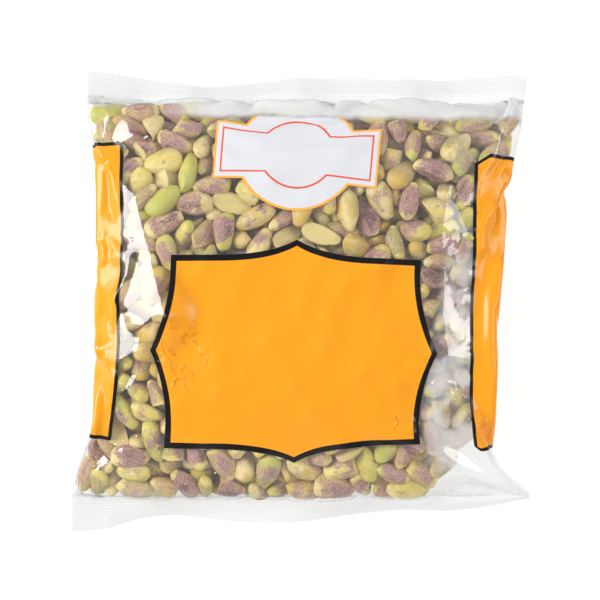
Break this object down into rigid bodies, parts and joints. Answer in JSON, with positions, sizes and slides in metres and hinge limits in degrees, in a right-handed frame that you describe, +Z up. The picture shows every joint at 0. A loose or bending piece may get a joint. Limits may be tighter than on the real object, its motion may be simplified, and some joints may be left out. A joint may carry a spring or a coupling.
{
  "type": "sealed clear bag of shelled pistachio kernels",
  "caption": "Clear pillow bag with crimped end seals and plain printed panels, filled with shelled pistachio kernels and lying on its back.",
  "frame": {"origin": "on the table, under the middle of the bag's box", "axes": "+X across the bag, along its seals; +Y from the bottom seal towards the top seal; +Z up, from the back of the bag to its printed front"},
  "size_m": [0.185, 0.182, 0.034],
  "materials": {
    "clear_film": "clear glossy film",
    "kernels": "dry, matt, faintly waxy"
  },
  "bodies": {
    "root": {"film_bag": "clear_film", "kernel_heap": "kernels", "kernel_01": "kernels", "kernel_02": "kernels", "kernel_03": "kernels", "kernel_04": "kernels", "kernel_05": "kernels", "kernel_06": "kernels", "kernel_07": "kernels", "kernel_08": "kernels", "kernel_09": "kernels", "kernel_10": "kernels", "kernel_11": "kernels", "kernel_12": "kernels", "kernel_13": "kernels", "kernel_14": "kernels", "kernel_15": "kernels", "kernel_16": "kernels", "kernel_17": "kernels", "kernel_18": "kernels", "kernel_19": "kernels", "kernel_20": "kernels", "kernel_21": "kernels", "kernel_22": "kernels", "kernel_23": "kernels", "kernel_24": "kernels", "kernel_25": "kernels", "kernel_26": "kernels"}
  },
  "joints": []
}
